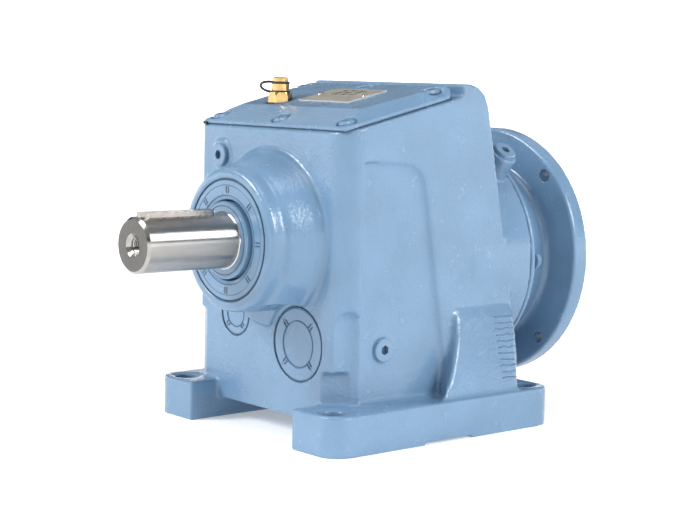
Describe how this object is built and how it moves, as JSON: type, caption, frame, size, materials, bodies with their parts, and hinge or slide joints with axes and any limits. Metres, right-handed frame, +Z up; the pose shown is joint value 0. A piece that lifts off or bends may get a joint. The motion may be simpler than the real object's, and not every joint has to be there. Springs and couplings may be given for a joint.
{
  "type": "foot-mounted inline helical gearbox",
  "caption": "Painted cast gear unit on foot bars: a keyed solid shaft in front, a round flange for a motor behind, a bolted sloping lid, and a helical gear train inside.",
  "frame": {"origin": "centre of the rectangle of the foot bolt holes, on the plane the feet stand on", "axes": "+Z up, away from the mounting plane; -Y out along the output shaft; +Y out of the motor flange; +X to the right-hand side seen from the output shaft's end"},
  "size_m": [0.267, 0.447, 0.3265],
  "materials": {
    "black_steel": "satin",
    "brass": "satin",
    "case_paint": "gloss",
    "gasket": "matte",
    "gear_steel": "satin",
    "machined_steel": "satin",
    "plate": "satin",
    "plated_steel": "satin",
    "rubber": "matte"
  },
  "bodies": {
    "gear_case": {"housing": "case_paint", "top_cover": "case_paint", "motor_adapter": "case_paint", "cover_gasket": "gasket", "adapter_gasket": "gasket", "cover_bolts": "case_paint", "adapter_screws": "case_paint", "oil_fill_plug": "case_paint", "oil_level_plug": "case_paint", "oil_drain_plug": "case_paint", "rear_vent_plug": "case_paint", "plug_sealing_rings": "case_paint", "breather_body": "brass", "breather_cap": "brass", "breather_rings": "rubber", "breather_strap": "rubber", "nameplate": "plate", "nameplate_rivets": "plated_steel", "output_seal": "case_paint", "large_closing_cap": "case_paint", "small_closing_cap": "case_paint", "output_bore_circlip": "black_steel", "input_seal": "rubber", "output_front_bearing_outer_ring": "gear_steel", "output_rear_bearing_outer_ring": "gear_steel", "middle_bearing_outer_rings": "gear_steel", "input_bearing_outer_rings": "gear_steel"},
    "output_shaft_assembly": {"output_shaft": "machined_steel", "output_shaft_key": "machined_steel", "output_gear_key": "machined_steel", "output_front_spacer": "machined_steel", "output_rear_spacer": "machined_steel", "output_gear": "gear_steel", "output_shaft_circlip": "black_steel", "output_front_bearing_inner_ring": "gear_steel", "output_front_bearing_balls": "plated_steel", "output_rear_bearing_inner_ring": "gear_steel", "output_rear_bearing_balls": "plated_steel"},
    "middle_shaft_assembly": {"middle_pinion_shaft": "gear_steel", "middle_gear": "gear_steel", "middle_gear_key": "machined_steel", "middle_shaft_spacer": "machined_steel", "middle_shaft_circlip": "black_steel", "middle_bearing_inner_rings": "gear_steel", "middle_bearing_balls": "plated_steel"},
    "input_shaft_assembly": {"input_shaft": "machined_steel", "input_pinion": "gear_steel", "input_pinion_key": "machined_steel", "input_bearing_spacer": "machined_steel", "input_pinion_circlip": "black_steel", "input_bearing_inner_rings": "gear_steel", "input_bearing_balls": "plated_steel"}
  },
  "joints": [
    {"name": "output_rotation", "type": "hinge", "parent": "gear_case", "child": "output_shaft_assembly", "pos_m": [0, 0, 0.18], "axis": [0, 1, 0], "continuous": true},
    {"name": "middle_rotation", "type": "hinge", "parent": "gear_case", "child": "middle_shaft_assembly", "pos_m": [0.044, 0, 0.087], "axis": [0, 1, 0], "continuous": true},
    {"name": "input_rotation", "type": "hinge", "parent": "gear_case", "child": "input_shaft_assembly", "pos_m": [0, 0, 0.155], "axis": [0, 1, 0], "continuous": true}
  ],
  "couplings": [
    {"joint": "middle_rotation", "follows": "output_rotation", "ratio": -3.1875},
    {"joint": "input_rotation", "follows": "output_rotation", "ratio": 5.3858}
  ]
}
